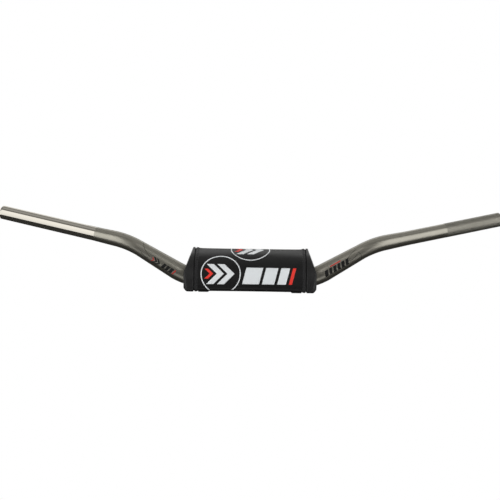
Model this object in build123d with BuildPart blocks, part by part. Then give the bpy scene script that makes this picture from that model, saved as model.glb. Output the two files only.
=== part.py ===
"""Motocross handlebar with a strapped-on bar pad, in millimetres.

The bar is one bent, tapered aluminium tube. The pad is a foam core that sits on the middle of the
bar, with a moulded cap bonded to each end, a vinyl cover round it, heat-bonded graphics on the
cover, and two hook-and-loop straps that pass under the bar.

Frame: origin at the centre of the clamp zone, +X along it towards the clutch side, +Y towards the
rider, +Z up. The two sides are named after the hand controls that they carry.
"""

import math
import os

from build123d import *

# ---------------------------------------------------------------- the bar's bends
bar_width = 800.0  # over the two ends
bar_height = 92.0  # clamp axis to the centre of a bar end
bar_sweep = 52.0  # clamp axis back to the centre of a bar end
bar_rise = 56.0  # clamp axis to the outer bend's corner
inner_corner_x = 97.0
outer_corner_x = 191.0
inner_bend_radius = 85.0
outer_bend_radius = 100.0

# ---------------------------------------------------------------- the bar's tube
clamp_diameter = 28.6
bend_diameter = 23.8  # through the outer bend
grip_diameter = 22.2
clamp_bore = 20.6
grip_bore = 16.0
grip_taper_length = 35.0  # from the outer bend's end to the grip diameter
end_chamfer = 0.8

# ---------------------------------------------------------------- the pad
channel_clearance = 0.8  # all round the bar, in the foam and the caps
pad_depth = 68.0
pad_rear_height = 61.0  # bottom to the sharp rear corner, before it is rounded
pad_front_lean = 8.0  # degrees that the front leans back
pad_top_slope = 12.0  # degrees that the top rises towards the rear
pad_shoulder_radius = 45.0
pad_rear_radius = 10.0
pad_bottom_radius = 5.0

cover_length = 172.0
cover_thickness = 1.2
cover_flap = 12.0  # how far the cover turns in under the pad
cover_gap = 0.1  # between the cover and the foam
binding_width = 5.0
binding_thickness = 0.7

cap_length = 15.4
cap_lip = 1.0  # how far a cap stands proud of the cover
cap_groove = 1.5  # gap between the cover and a cap
cap_chamfer = 5.5
cap_slant_run = 12.9  # how far a cap's outer face comes in above the bar
cap_slant_start = 14.0  # height above the bar's axis where it begins
cap_edge_radius = 1.2

pocket_length = 128.0  # hollow over the stem's bar clamps
pocket_depth = 40.0
pocket_wall = 4.0  # foam left in front of the hollow's upper front edge
pocket_top = 28.0  # above the bar's axis

# ---------------------------------------------------------------- the straps
strap_width = 16.0
strap_thickness = 1.2
strap_centre_x = 72.0
strap_root_length = 6.0  # sewn under the cover's front flap
strap_hinge_gap = 0.3
strap_clearance = 0.2  # closed strap to the pad, and its hooks to the loops
strap_rise = 30.0  # from the pad's bottom to the pull tab's tip
loop_thickness = 1.2
hook_thickness = 1.0
patch_height = 22.0
patch_start = 8.0  # the loop patch's lower edge, above the pad's bottom
patch_margin = 0.5  # hook patch inside the strap's edges
tab_length = 8.0  # bare end of the strap, above the hook patch

# ---------------------------------------------------------------- the graphics
film_thickness = 0.3
roundel_radius = 31.0
roundel_line = 1.6
chevron_reach = 16.0  # half a chevron's height, and how far it goes forward
chevron_arm = 11.0
chevron_tips = (5.0, 21.5)  # ahead of the roundel's centre
small_chevron_reach = 8.0
small_chevron_arm = 5.5
small_chevron_tip = -11.5
front_roundel_x = -45.5
front_roundel_up = 28.5  # along the face from the pad's bottom
top_roundel_y = 15.5
stripe_widths = (26.0, 19.0, 13.5)
stripe_gap = 4.5
stripe_height = 26.0
stripe_slant = 14.0  # degrees from upright
stripes_start_x = -9.0
stripes_up = 26.0
accent_width = 5.0  # the last stripe, in the other colour

# ---------------------------------------------------------------- worked out
clamp_radius = clamp_diameter / 2
channel_radius = clamp_radius + channel_clearance
pad_bottom = -channel_radius
cover_half = cover_length / 2
cap_inner_x = cover_half + cap_groove
cap_outer_x = cap_inner_x + cap_length
flap_edge = pad_depth / 2 - cover_flap
film_reach = pad_shoulder_radius / 2  # further than the skin curves away under a graphic
lean_tangent = math.tan(math.radians(pad_front_lean))
slope_tangent = math.tan(math.radians(pad_top_slope))
shoulder_height = (pad_rear_height - slope_tangent * pad_depth) / (1 - slope_tangent * lean_tangent)
shoulder_y = lean_tangent * shoulder_height - pad_depth / 2  # where the front and top lines meet
shoulder_z = pad_bottom + shoulder_height
shoulder_turn = math.radians(90 - pad_front_lean - pad_top_slope)
front_flat = math.hypot(shoulder_height, shoulder_height * lean_tangent) - (
    pad_shoulder_radius * math.tan(shoulder_turn / 2)
)
shoulder_centre_y = (
    front_flat * math.sin(math.radians(pad_front_lean))
    - pad_depth / 2
    + pad_shoulder_radius * math.cos(math.radians(pad_front_lean))
)
shoulder_centre_z = (
    pad_bottom
    + front_flat * math.cos(math.radians(pad_front_lean))
    - pad_shoulder_radius * math.sin(math.radians(pad_front_lean))
)
PAD_PLANE = Plane.YZ
TALL = 200.0  # longer than anything that it has to cut through

corners = (
    (0.0, 0.0, 0.0),
    (inner_corner_x, 0.0, 0.0),
    (outer_corner_x, 0.0, bar_rise),
    (bar_width / 2, bar_sweep, bar_height),
)

with BuildLine() as bar_axis:
    FilletPolyline(*corners, radius=(inner_bend_radius, outer_bend_radius))
clamp_run, inner_bend, riser_run, outer_bend, grip_run = bar_axis.edges().sort_by(Axis.X)


def disc(edge, length, radius):
    """A round section square to edge, at this length along it."""
    place = Plane(
        origin=edge.position_at(length, PositionMode.LENGTH),
        z_dir=edge.tangent_at(length, PositionMode.LENGTH),
    )
    with BuildSketch(place) as section:
        Circle(radius)
    return section.sketch


def straight(edge, start, end, start_radius, end_radius, mode=Mode.ADD):
    """A cylinder or a cone along a straight stretch of the bar's axis."""
    sections = [disc(edge, start, start_radius), disc(edge, end, end_radius)]
    loft(sections=sections, ruled=True, mode=mode)


def bent(edge, radius, mode=Mode.ADD):
    """A round bar of one size along a bend."""
    sweep(sections=disc(edge, 0.0, radius), path=edge, mode=mode)


def half_bar(clamp, bend, grip, mouth, mode):
    """One half of the bar's outside or of its bore, from these radii."""
    taper_end = min(grip_taper_length, grip_run.length / 2)
    straight(clamp_run, 0.0, clamp_run.length, clamp, clamp, mode)
    bent(inner_bend, clamp, mode)
    straight(riser_run, 0.0, riser_run.length, clamp, bend, mode)
    bent(outer_bend, bend, mode)
    straight(grip_run, 0.0, taper_end, bend, grip, mode)
    straight(grip_run, taper_end, grip_run.length - end_chamfer, grip, grip, mode)
    straight(grip_run, grip_run.length - end_chamfer, grip_run.length, grip, mouth, mode)


def pad_bar(start, end, grow=0.0, mode=Mode.ADD):
    """The pad's section, grown or shrunk by grow, drawn out along X from start to end."""
    half, bottom = pad_depth / 2, pad_bottom
    shoulder = (shoulder_y, shoulder_z)
    rear_top = (half, bottom + pad_rear_height)
    with BuildSketch(PAD_PLANE.offset(start)) as section:
        with BuildLine():
            Polyline((-half, bottom), shoulder, rear_top, (half, bottom), close=True)
        make_face()
        fillet(section.vertices().sort_by_distance(shoulder)[0], pad_shoulder_radius)
        fillet(section.vertices().sort_by_distance(rear_top)[0], pad_rear_radius)
        fillet(section.vertices().group_by(Axis.Y)[0], pad_bottom_radius)
        if grow:
            offset(amount=grow, mode=Mode.REPLACE)
    extrude(section.sketch, amount=end - start, mode=mode)


def write(part, name):
    """Label one finished piece and write it."""
    part.label = name
    export_step(part, f"parts/{name}.step")


# ---------------------------------------------------------------- the bar
def build_tube():
    """The bar: one tube, thick in the middle and drawn down to the grips."""
    with BuildPart() as tube:
        half_bar(
            clamp_radius,
            bend_diameter / 2,
            grip_diameter / 2,
            grip_diameter / 2 - end_chamfer,
            Mode.ADD,
        )
        half_bar(
            clamp_bore / 2,
            grip_bore / 2,
            grip_bore / 2,
            grip_bore / 2 + end_chamfer / 2,
            Mode.SUBTRACT,
        )
        mirror(about=Plane.YZ)
    return tube.part


def build_channel():
    """The space that the bar fills in the pad, open all the way down."""
    far, up = (riser_run @ 1).X, (riser_run @ 1).Z
    path = ((-far, up), (-inner_corner_x, 0), (inner_corner_x, 0), (far, up))
    with BuildLine(Plane.XZ) as centre:
        FilletPolyline(*path, radius=inner_bend_radius)
    with BuildPart() as channel:
        with BuildSketch(Plane.XZ):
            with BuildLine():
                FilletPolyline(*path, radius=inner_bend_radius)
                Polyline(path[-1], (far, -TALL), (-far, -TALL), path[0])
            make_face()
        extrude(amount=channel_radius, both=True)
        with BuildSketch(Plane(origin=centre.wire() @ 0, z_dir=centre.wire() % 0)):
            Circle(channel_radius)
        sweep(path=centre.wire())
    return channel.part


# ---------------------------------------------------------------- the pad's body
def build_core(channel):
    """The foam block, with the bar's channel and the hollow for the stem's clamps."""
    with BuildPart() as core:
        pad_bar(-cap_inner_x, cap_inner_x, grow=-(cover_thickness + cover_gap))
        with BuildSketch(PAD_PLANE):
            with Locations((0, pocket_top - TALL / 2)):
                Rectangle(pocket_depth, TALL)
            with Locations((shoulder_centre_y, shoulder_centre_z)):
                Circle(pad_shoulder_radius - cover_thickness - cover_gap - pocket_wall, mode=Mode.INTERSECT)
            with Locations((0, -TALL / 2)):
                Rectangle(pocket_depth, TALL)
        extrude(amount=pocket_length / 2, both=True, mode=Mode.SUBTRACT)
        add(channel, mode=Mode.SUBTRACT)
    return core.part


def build_cap(channel):
    """The clutch side's moulded end cap: a proud rim, then faces that come in round the bar."""
    low = pad_bottom - cap_lip
    high = pad_bottom + pad_rear_height + cap_lip
    side = pad_depth / 2 + cap_lip
    with BuildPart() as cap:
        pad_bar(cap_inner_x, cap_outer_x, grow=cap_lip)
        with BuildSketch(Plane.XZ):
            with BuildLine():
                Polyline(
                    (cap_inner_x, low),
                    (cap_outer_x - cap_chamfer, low),
                    (cap_outer_x, low + cap_chamfer),
                    (cap_outer_x, cap_slant_start),
                    (cap_outer_x - cap_slant_run, high),
                    (cap_inner_x, high),
                    close=True,
                )
            make_face()
        extrude(amount=TALL, both=True, mode=Mode.INTERSECT)
        with BuildSketch(Plane.XY):
            with BuildLine():
                Polyline(
                    (cap_inner_x, -side),
                    (cap_outer_x - cap_chamfer, -side),
                    (cap_outer_x, cap_chamfer - side),
                    (cap_outer_x, side - cap_chamfer),
                    (cap_outer_x - cap_chamfer, side),
                    (cap_inner_x, side),
                    close=True,
                )
            make_face()
        extrude(amount=TALL, both=True, mode=Mode.INTERSECT)
        rim = cap.edges().filter_by(Axis.X, reverse=True).filter_by(off_inner_face)
        largest = cap.part.max_fillet(rim, tolerance=0.05, max_iterations=20)
        fillet(rim, min(cap_edge_radius, largest))
        add(channel, mode=Mode.SUBTRACT)
    return cap.part


def off_inner_face(edge):
    """True if an edge of the cap lies outside the face that is bonded to the foam."""
    return edge.center().X > cap_inner_x + cap_edge_radius


def build_cover():
    """The vinyl wrap: front, top and rear, with a flap turned in under each side."""
    with BuildPart() as cover:
        pad_bar(-cover_half, cover_half)
        pad_bar(-cover_half, cover_half, grow=-cover_thickness, mode=Mode.SUBTRACT)
        open_underside()
    return cover.part


def open_underside():
    """Cut away what is between the cover's two flaps."""
    with BuildSketch(Plane.XY) as underside:
        Rectangle(cover_length + TALL, 2 * flap_edge)
    extrude(underside.sketch, amount=-TALL, mode=Mode.SUBTRACT)


def build_binding():
    """The tape sewn round the cover's clutch-side edge."""
    start = cover_half - binding_width
    with BuildPart() as binding:
        pad_bar(start, cover_half, grow=binding_thickness)
        pad_bar(start, cover_half, mode=Mode.SUBTRACT)
        open_underside()
    return binding.part


# ---------------------------------------------------------------- the straps
strap_top = pad_bottom - strap_clearance
strap_low = strap_top - strap_thickness
hinge_y = -flap_edge
root_front = hinge_y - strap_hinge_gap / 2 - strap_root_length
rear_face = pad_depth / 2
loop_face = rear_face + loop_thickness
hook_face = loop_face + strap_clearance
web_face = hook_face + hook_thickness
strap_corner = web_face - rear_face + pad_bottom_radius  # inner radius round the pad's corner
loop_low = pad_bottom + patch_start
hook_low = max(loop_low, strap_top + strap_corner)
hook_high = pad_bottom + strap_rise - tab_length


def strap_block(y_range, z_range, width=strap_width):
    """A rectangular block under or behind the pad, as wide as a strap or a patch."""
    with BuildSketch(PAD_PLANE.offset(strap_centre_x - width / 2)) as section:
        with Locations(((y_range[0] + y_range[1]) / 2, (z_range[0] + z_range[1]) / 2)):
            Rectangle(y_range[1] - y_range[0], z_range[1] - z_range[0])
    extrude(section.sketch, amount=width)


def build_strap_root():
    """The end of the strap that is sewn under the cover's front flap."""
    with BuildPart() as root:
        strap_block((root_front, hinge_y - strap_hinge_gap / 2), (strap_low, pad_bottom))
    return root.part


def build_strap():
    """The free strap: under the bar, round the rear corner and up behind the pad."""
    start = (hinge_y + strap_hinge_gap / 2, strap_top - strap_thickness / 2)
    corner = (web_face + strap_thickness / 2, start[1])
    tip = (corner[0], pad_bottom + strap_rise)
    with BuildPart() as strap:
        with BuildSketch(PAD_PLANE.offset(strap_centre_x - strap_width / 2)):
            with BuildLine():
                FilletPolyline(start, corner, tip, radius=strap_corner + strap_thickness / 2)
            trace(line_width=strap_thickness)
        extrude(amount=strap_width)
        fillet(strap.edges().filter_by(Axis.Y).group_by(Axis.Z)[-1], strap_width / 4)
    return strap.part


def build_hook_patch():
    """The hook tape sewn to the strap's inner face."""
    with BuildPart() as hook:
        strap_block((hook_face, web_face), (hook_low, hook_high), strap_width - 2 * patch_margin)
    return hook.part


def build_loop_patch():
    """The loop tape sewn to the back of the cover."""
    with BuildPart() as loop:
        strap_block((rear_face, loop_face), (loop_low, loop_low + patch_height))
    return loop.part


# ---------------------------------------------------------------- the graphics
def front_plane(up):
    """A plane that touches the pad's front, square to it, this far up the face."""
    lean = math.radians(pad_front_lean)
    out = Vector(0, -math.cos(lean), math.sin(lean))
    if up <= front_flat:
        start = Vector(0, -pad_depth / 2, pad_bottom)
        along = Vector(0, math.sin(lean), math.cos(lean))
        return Plane(origin=start + along * up, x_dir=(1, 0, 0), z_dir=out)
    angle = lean + (up - front_flat) / pad_shoulder_radius
    out = Vector(0, -math.cos(angle), math.sin(angle))
    centre = Vector(0, shoulder_centre_y, shoulder_centre_z)
    return Plane(origin=centre + out * pad_shoulder_radius, x_dir=(1, 0, 0), z_dir=out)


def top_plane():
    """A plane on the pad's top, where the top roundel's centre is."""
    slope = math.radians(pad_top_slope)
    z = pad_bottom + pad_rear_height - slope_tangent * (pad_depth / 2 - top_roundel_y)
    return Plane(
        origin=(0, top_roundel_y, z),
        x_dir=(1, 0, 0),
        z_dir=(0, -math.sin(slope), math.cos(slope)),
    )


def build_film_skin():
    """A thin skin over the cover's front and top, from which the graphics are cut."""
    with BuildPart() as skin:
        pad_bar(-cover_half, cover_half, grow=film_thickness)
        pad_bar(-cover_half, cover_half, mode=Mode.SUBTRACT)
        with BuildSketch(Plane.XY.offset(pad_bottom)):
            Rectangle(cover_length, pad_depth)
        extrude(amount=TALL, mode=Mode.INTERSECT)
    return skin.part


def cut_film(plane, skin, draw):
    """One colour of the graphics: what draw sketches on plane, cut out of the skin."""
    with BuildPart() as film:
        with BuildSketch(plane):
            draw()
        extrude(amount=film_reach, both=True)
        add(skin, mode=Mode.INTERSECT)
    return film.part


def chevron(tip, reach, arm):
    """A V on its side, pointing towards +X."""
    heel = tip - arm
    Polygon(
        (tip, 0),
        (tip - reach, reach),
        (heel - reach, reach),
        (heel, 0),
        (heel - reach, -reach),
        (tip - reach, -reach),
        align=None,
    )


def draw_roundel():
    """A ring with two chevrons in it."""
    Circle(roundel_radius)
    Circle(roundel_radius - roundel_line, mode=Mode.SUBTRACT)
    for tip in chevron_tips:
        chevron(tip, chevron_reach, chevron_arm)


def draw_roundel_accent():
    """The small chevron behind the other two."""
    chevron(small_chevron_tip, small_chevron_reach, small_chevron_arm)


def slanted_bar(start, width, low, high):
    """A bar that leans towards +X and, halfway up the stripes, begins at start."""
    lean = math.tan(math.radians(stripe_slant))
    Polygon(
        (start + low * lean, low),
        (start + width + low * lean, low),
        (start + width + high * lean, high),
        (start + high * lean, high),
        align=None,
    )


def stripe_starts():
    """Where each stripe begins, halfway up."""
    return [
        stripes_start_x + sum(stripe_widths[:count]) + stripe_gap * count
        for count in range(len(stripe_widths))
    ]


def draw_stripes():
    """Slanted stripes that get narrower towards +X."""
    for start, width in zip(stripe_starts(), stripe_widths):
        slanted_bar(start, width, -stripe_height / 2, stripe_height / 2)


def draw_stripe_accent():
    """The narrow stripe that ends the row."""
    start = stripe_starts()[-1] + stripe_widths[-1] + stripe_gap
    slanted_bar(start, accent_width, -stripe_height / 2, stripe_height / 2)


# ---------------------------------------------------------------- write everything
os.makedirs("parts", exist_ok=True)

channel_space = build_channel()
film_skin = build_film_skin()
front_roundel_plane = front_plane(front_roundel_up).shift_origin(
    front_plane(front_roundel_up).origin + Vector(front_roundel_x, 0, 0)
)

write(build_tube(), "handlebar_tube")
write(build_core(channel_space), "pad_foam_core")
write(build_cover(), "pad_cover")

paired = {
    "pad_end_cap": build_cap(channel_space),
    "cover_binding": build_binding(),
    "strap_root": build_strap_root(),
    "strap": build_strap(),
    "strap_hook_patch": build_hook_patch(),
    "cover_loop_patch": build_loop_patch(),
}
for piece_name, piece in paired.items():
    write(piece, f"{piece_name}_clutch_side")
    write(mirror(piece, about=Plane.YZ), f"{piece_name}_throttle_side")

graphics = {
    "front_roundel": (front_roundel_plane, draw_roundel),
    "front_roundel_accent": (front_roundel_plane, draw_roundel_accent),
    "front_stripes": (front_plane(stripes_up), draw_stripes),
    "front_stripe_accent": (front_plane(stripes_up), draw_stripe_accent),
    "top_roundel": (top_plane(), draw_roundel),
    "top_roundel_accent": (top_plane(), draw_roundel_accent),
}
for piece_name, (plane, draw) in graphics.items():
    write(cut_film(plane, film_skin, draw), piece_name)
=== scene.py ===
# %% [markdown]
# # A motocross handlebar and its bar pad
#
# The real object is one bent aluminium tube with a foam pad strapped over its middle. The tube is
# shot-blasted and anodised a warm titanium grey, polished where the throttle turns and knurled where
# the other grip is glued. The pad is foam with a moulded cap at each end, wrapped in black vinyl.
#
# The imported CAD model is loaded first. It fixes where everything is, and each piece made here either
# gives a CAD node a finish or stands in for it with a more detailed mesh.

import math

import bmesh
import bpy
import numpy as np
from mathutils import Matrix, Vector, noise


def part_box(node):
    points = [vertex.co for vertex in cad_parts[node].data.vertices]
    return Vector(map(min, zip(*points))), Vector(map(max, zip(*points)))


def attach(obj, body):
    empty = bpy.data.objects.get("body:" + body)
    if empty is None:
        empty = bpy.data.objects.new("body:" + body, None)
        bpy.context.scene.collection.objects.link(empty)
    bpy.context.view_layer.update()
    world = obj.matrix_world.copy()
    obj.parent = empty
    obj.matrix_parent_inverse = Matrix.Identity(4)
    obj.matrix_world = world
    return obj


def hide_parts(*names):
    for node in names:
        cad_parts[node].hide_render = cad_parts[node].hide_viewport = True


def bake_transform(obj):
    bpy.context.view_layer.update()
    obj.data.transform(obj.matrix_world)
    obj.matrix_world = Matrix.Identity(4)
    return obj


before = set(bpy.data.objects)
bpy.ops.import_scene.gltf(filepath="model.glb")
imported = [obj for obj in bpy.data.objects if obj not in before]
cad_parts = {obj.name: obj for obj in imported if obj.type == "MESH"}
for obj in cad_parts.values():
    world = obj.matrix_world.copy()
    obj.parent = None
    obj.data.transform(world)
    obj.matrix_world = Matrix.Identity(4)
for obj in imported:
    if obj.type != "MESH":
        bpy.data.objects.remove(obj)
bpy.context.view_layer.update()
PAD_BODY = "bar_and_pad"
SIDES = {"clutch_side": 1, "throttle_side": -1}

# %% [markdown]
# ## The camera
#
# The object is seen from the front of the motorcycle, from a little above, through a long lens. The
# camera stands 1.5 m away, 12 degrees up, and looks at a point just above the bar's middle, so that
# the rising ends fill the picture evenly. It is turned a little about its own axis, because the bar
# hangs slightly lower on the clutch side.

# %% The camera
CAMERA_DISTANCE = 1.5
CAMERA_ELEVATION = math.radians(12)
CAMERA_TARGET = Vector((-0.0008, 0, 0.0454))
CAMERA_ROLL = math.radians(0.85)
CAMERA_LENS = 68.6

camera_data = bpy.data.cameras.new("camera")
camera_data.lens = CAMERA_LENS
camera_data.sensor_width = 36
camera = bpy.data.objects.new("camera", camera_data)
bpy.context.collection.objects.link(camera)
camera.location = (
    0,
    -CAMERA_DISTANCE * math.cos(CAMERA_ELEVATION),
    CAMERA_DISTANCE * math.sin(CAMERA_ELEVATION),
)
camera.rotation_euler = (CAMERA_TARGET - camera.location).to_track_quat("-Z", "Y").to_euler()
camera.rotation_euler.rotate_axis("Z", CAMERA_ROLL)
bpy.context.scene.camera = camera
print("camera at", [round(v, 3) for v in camera.location], "lens", CAMERA_LENS)

# %% [markdown]
# ## Paths with rounded corners
#
# The tube's centre line and the pad's section are both straight runs joined by tangent arcs, so one
# function serves both. It returns closely spaced points, the direction at each, and how far along
# the path each one is. Everything else reads places off such a path by distance.


# %% Rounded paths
def rounded_path(corners, radii, step=0.0005):
    """Points, directions and distances along straight runs joined by arcs of these radii."""
    corners = [Vector(c).to_3d() for c in corners]
    points, directions = [], []
    start = corners[0]
    for i, radius in enumerate(radii, 1):
        before = (corners[i] - corners[i - 1]).normalized()
        after = (corners[i + 1] - corners[i]).normalized()
        turn = before.angle(after)
        inward = (after - before * before.dot(after)).normalized()
        arc_start = corners[i] - before * radius * math.tan(turn / 2)
        count = max(1, round((arc_start - start).length / step))
        for k in range(count):
            points.append(start.lerp(arc_start, k / count))
            directions.append(before)
        centre = arc_start + inward * radius
        count = max(2, round(radius * turn / step))
        for k in range(count):
            angle = turn * k / count
            points.append(centre - inward * radius * math.cos(angle) + before * radius * math.sin(angle))
            directions.append(before * math.cos(angle) + inward * math.sin(angle))
        start = centre - inward * radius * math.cos(turn) + before * radius * math.sin(turn)
        last = after
    count = max(1, round((corners[-1] - start).length / step))
    for k in range(count + 1):
        points.append(start.lerp(corners[-1], k / count))
        directions.append(last)
    points, directions = np.array(points), np.array(directions)
    steps = np.linalg.norm(np.diff(points, axis=0), axis=1)
    return points, directions, np.concatenate([[0], np.cumsum(steps)])


def along(path, distances):
    """Places and directions at these distances along a rounded path."""
    points, directions, reach = path
    place = np.stack([np.interp(distances, reach, points[:, k]) for k in range(3)], axis=-1)
    way = np.stack([np.interp(distances, reach, directions[:, k]) for k in range(3)], axis=-1)
    return place, way / np.linalg.norm(way, axis=-1, keepdims=True)


# %% [markdown]
# ## Making meshes from grids
#
# Most pieces here are surfaces that follow a path, so they are grids of points bent into shape. A
# grid may close on itself one way, as a ring does. A sheet gets its thickness by laying a second,
# inner grid under the first and joining the two along the open edges.


# %% Grid meshes
def show(mesh, name):
    """A new object at the origin that shows this mesh."""
    piece = bpy.data.objects.new(name, mesh)
    bpy.context.collection.objects.link(piece)
    return piece


def new_piece(name, points, faces, material, uvs=None):
    """A smooth mesh object of these points and faces, with one material and a UV for each corner."""
    mesh = bpy.data.meshes.new(name)
    mesh.from_pydata([tuple(p) for p in points], [], faces)
    mesh.materials.append(material)
    if uvs is not None:
        layer = mesh.uv_layers.new(name="UVMap")
        layer.data.foreach_set("uv", np.asarray(uvs, dtype=float).ravel())
    mesh.polygons.foreach_set("use_smooth", [True] * len(mesh.polygons))
    return show(mesh, name)


def grid_faces(rows, columns, close_rows=False, close_columns=False):
    """Quads over a grid of points numbered row by row, and the row and column of each corner."""
    faces, corners = [], []
    for r in range(rows if close_rows else rows - 1):
        for c in range(columns if close_columns else columns - 1):
            cell = ((r, c), (r, c + 1), (r + 1, c + 1), (r + 1, c))
            faces.append([a % rows * columns + b % columns for a, b in cell])
            corners += cell
    return faces, corners


def slab(name, outer, inner, material, uvs, close_rows=False):
    """A closed sheet between two grids of points, with the UV of each grid point."""
    rows, columns = outer.shape[:2]
    count = rows * columns
    faces, _ = grid_faces(rows, columns, close_rows)
    edges = {(a, b) for face in faces for a, b in zip(face, face[1:] + face[:1])}
    rim = [[b, a, a + count, b + count] for a, b in sorted(edges) if (b, a) not in edges]
    back = [[v + count for v in reversed(face)] for face in faces]
    flat = uvs.reshape(-1, 2)
    corner_uvs = [flat[v % count] for face in faces + back + rim for v in face]
    points = np.concatenate([outer.reshape(-1, 3), inner.reshape(-1, 3)])
    piece = new_piece(name, points, faces + back + rim, material, corner_uvs)
    face_outwards(piece)
    return piece


def face_outwards(piece):
    """Turn a closed mesh's faces outwards."""
    edit = bmesh.new()
    edit.from_mesh(piece.data)
    bmesh.ops.recalc_face_normals(edit, faces=edit.faces)
    edit.to_mesh(piece.data)
    edit.free()


# %% [markdown]
# ## Building node trees
#
# Shader and geometry trees are both nodes whose inputs are either typed in or linked, so one small
# helper places a node of either kind. A geometry tree is run on an object through a modifier, and
# the result is kept as a plain mesh.


# %% Node helpers
def add_node(tree, kind, inputs=None, **settings):
    """A node with these settings, each of its inputs linked to a socket or given a value."""
    made = tree.nodes.new(kind)
    for key, value in settings.items():
        setattr(made, key, value)
    for key, value in (inputs or {}).items():
        if isinstance(value, bpy.types.NodeSocket):
            tree.links.new(value, made.inputs[key])
        else:
            made.inputs[key].default_value = value
    return made


def calc(tree, operation, a, b=0.0):
    """The result of a Math node on two values or sockets."""
    return add_node(tree, "ShaderNodeMath", {0: a, 1: b}, operation=operation).outputs[0]


def vector_calc(tree, operation, a, b, output=0):
    """The result of a Vector Math node on two vectors."""
    return add_node(tree, "ShaderNodeVectorMath", {0: a, 1: b}, operation=operation).outputs[output]


def scaled(tree, vector, scale):
    """A vector times a number."""
    return add_node(tree, "ShaderNodeVectorMath", {0: vector, "Scale": scale}, operation="SCALE").outputs[0]


def new_tree(kind, name, inputs, outputs):
    """An empty node group with these sockets, and its input and output nodes."""
    tree = bpy.data.node_groups.new(name, kind)
    for label, socket_type, default in inputs:
        socket = tree.interface.new_socket(label, in_out="INPUT", socket_type=socket_type)
        if default is not None:
            socket.default_value = default
    for label, socket_type in outputs:
        tree.interface.new_socket(label, in_out="OUTPUT", socket_type=socket_type)
    return tree, tree.nodes.new("NodeGroupInput").outputs, tree.nodes.new("NodeGroupOutput").inputs


def finish_tree(tree, geometry, material, output):
    """End a geometry tree in Realize Instances and Set Material."""
    real = add_node(tree, "GeometryNodeRealizeInstances", {"Geometry": geometry}).outputs[0]
    done = add_node(tree, "GeometryNodeSetMaterial", {"Geometry": real, "Material": material})
    tree.links.new(done.outputs[0], output)


def grow(tree, base, name, **values):
    """Run a geometry tree on a base object, and keep the result as a plain mesh instead of the base."""
    modifier = base.modifiers.new(tree.name, "NODES")
    modifier.node_group = tree
    for item in tree.interface.items_tree:
        label = item.name.lower().replace(" ", "_")
        if item.in_out == "INPUT" and label in values:
            modifier[item.identifier] = values[label]
    graph = bpy.context.evaluated_depsgraph_get()
    mesh = bpy.data.meshes.new_from_object(base.evaluated_get(graph), depsgraph=graph)
    bpy.data.objects.remove(base)
    return show(mesh, name)


# %% [markdown]
# ## Shader groups shared by several materials
#
# Three effects turn up again and again: fine grain, dust that lightens a dark surface in patches,
# and a weave of crossing threads with painted shade in the gaps between them. Each is one node group
# with its own inputs, and each material places it with its own values.


# %% Noise and ranges
def noise_at(tree, vector, scale, detail=4.0, roughness=0.55):
    """A Noise Texture's factor at this vector."""
    inputs = {"Vector": vector, "Scale": scale, "Detail": detail, "Roughness": roughness}
    return add_node(tree, "ShaderNodeTexNoise", inputs).outputs["Fac"]


def ranged(tree, value, low, high, out_low=0.0, out_high=1.0):
    """A value carried from one range to another, and kept inside it."""
    inputs = {"Value": value, "From Min": low, "From Max": high, "To Min": out_low, "To Max": out_high}
    return add_node(tree, "ShaderNodeMapRange", inputs).outputs["Result"]


def mixed(tree, factor, a, b):
    """A colour between a and b."""
    inputs = {"Factor": factor, "A": a, "B": b}
    return add_node(tree, "ShaderNodeMix", inputs, data_type="RGBA").outputs["Result"]


# %% The grain group
def grain_group():
    """Fine pebbled grain, as on vinyl, foam skin or blasted metal: a height and a patchy mask."""
    tree, given, result = new_tree(
        "ShaderNodeTree",
        "grain",
        [("Vector", "NodeSocketVector", None), ("Size", "NodeSocketFloat", 1.0)],
        [("Height", "NodeSocketFloat"), ("Patches", "NodeSocketFloat")],
    )
    place = scaled(tree, given["Vector"], calc(tree, "DIVIDE", 1.0, given["Size"]))
    inputs = {"Vector": place, "Scale": 1.0, "Smoothness": 0.6}
    cells = add_node(tree, "ShaderNodeTexVoronoi", inputs, feature="SMOOTH_F1").outputs["Distance"]
    pebbles = calc(tree, "MULTIPLY", cells, -0.7)
    tree.links.new(calc(tree, "ADD", pebbles, noise_at(tree, place, 2.3, 3.0)), result["Height"])
    patches = noise_at(tree, given["Vector"], 38.0, 3.0)
    tree.links.new(ranged(tree, patches, 0.35, 0.7), result["Patches"])
    return tree


# %% The dust group
def dust_group():
    """Light dust: a colour mixed over the base where a slow noise is high, and a rougher finish."""
    tree, given, result = new_tree(
        "ShaderNodeTree",
        "dust",
        [
            ("Vector", "NodeSocketVector", None),
            ("Base", "NodeSocketColor", (0.02, 0.02, 0.02, 1)),
            ("Dusty", "NodeSocketColor", (0.1, 0.1, 0.1, 1)),
            ("Amount", "NodeSocketFloat", 0.2),
            ("Roughness", "NodeSocketFloat", 0.5),
        ],
        [("Color", "NodeSocketColor"), ("Roughness", "NodeSocketFloat")],
    )
    cover = ranged(tree, noise_at(tree, given["Vector"], 24.0, 5.0, 0.65), 0.42, 0.75)
    speckle = ranged(tree, noise_at(tree, given["Vector"], 900.0, 2.0), 0.45, 0.7, 0.4, 1.0)
    amount = calc(tree, "MULTIPLY", calc(tree, "MULTIPLY", cover, speckle), given["Amount"])
    tree.links.new(mixed(tree, amount, given["Base"], given["Dusty"]), result["Color"])
    rougher = calc(tree, "ADD", given["Roughness"], calc(tree, "MULTIPLY", amount, 0.4))
    tree.links.new(rougher, result["Roughness"])
    return tree


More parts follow.
